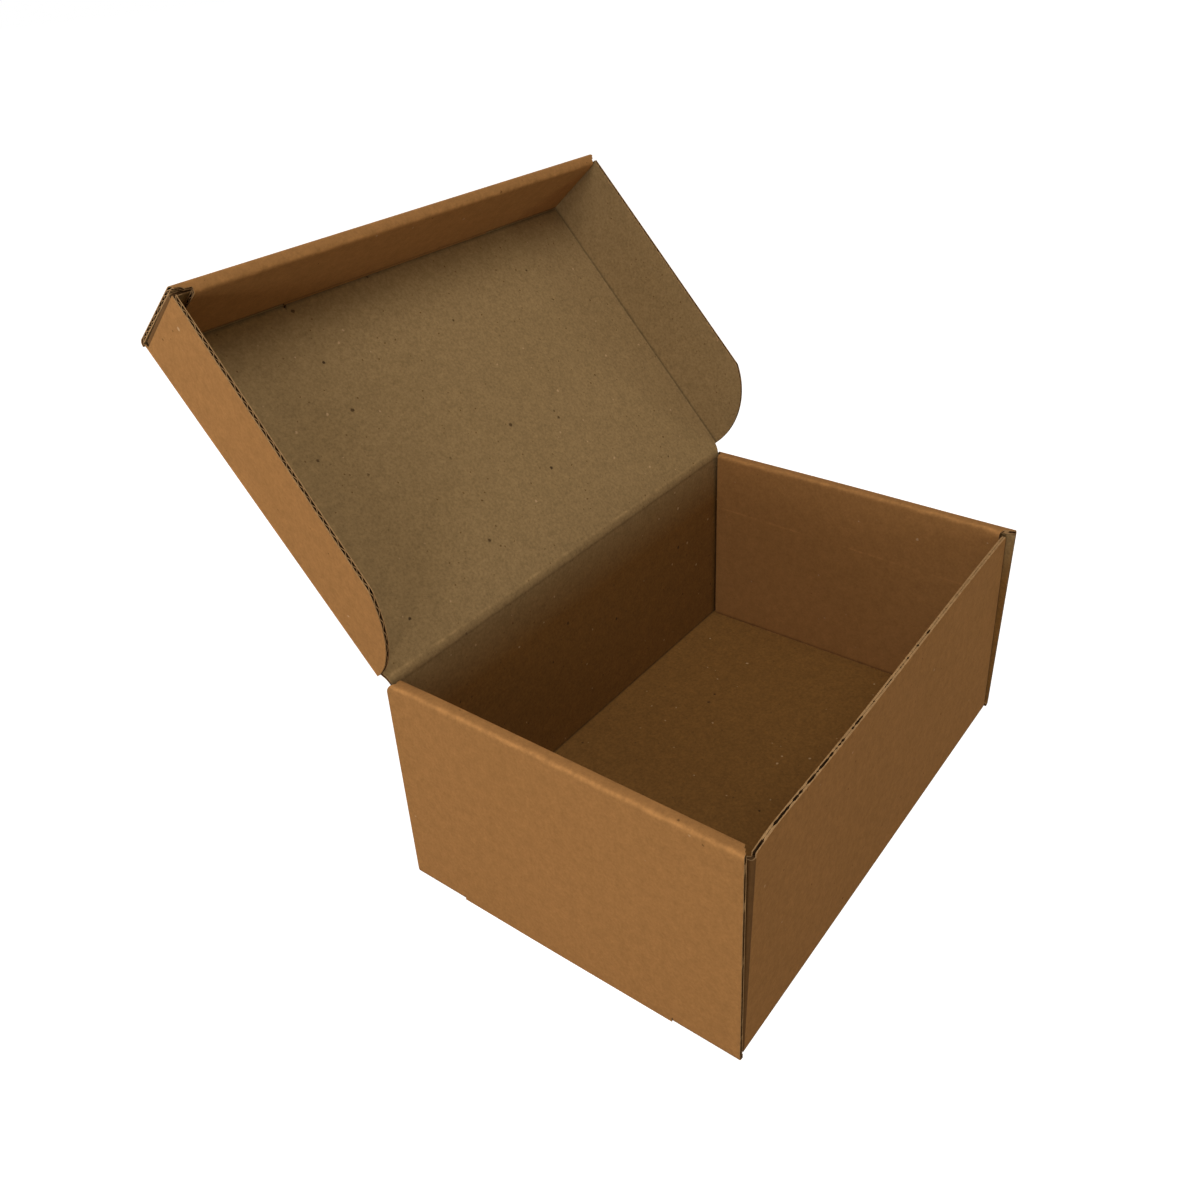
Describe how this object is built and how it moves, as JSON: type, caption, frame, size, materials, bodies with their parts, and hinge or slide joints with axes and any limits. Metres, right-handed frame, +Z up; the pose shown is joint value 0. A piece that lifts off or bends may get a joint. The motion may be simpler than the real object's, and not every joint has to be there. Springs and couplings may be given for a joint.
{
  "type": "cardboard box",
  "caption": "Open corrugated board box folded from one sheet: roll-over side walls and a hinged lid with side flaps and a rolled front that close over the tray.",
  "frame": {"origin": "centre of the underside, on the surface the box stands on", "axes": "+Z up, +X along the hinge, +Y from the front wall to the hinge"},
  "size_m": [0.2095, 0.2177, 0.2012],
  "materials": {
    "kraft_board": "uncoated brown kraft liner, dull with a faint sheen"
  },
  "bodies": {
    "tray": {"tray": "kraft_board"},
    "lid": {"lid": "kraft_board"}
  },
  "joints": [
    {"name": "lid_hinge", "type": "hinge", "parent": "tray", "child": "lid", "pos_m": [0, 0.0623, 0.08272], "axis": [-1, 0, 0], "range_deg": [-132.2, 67.8]}
  ]
}
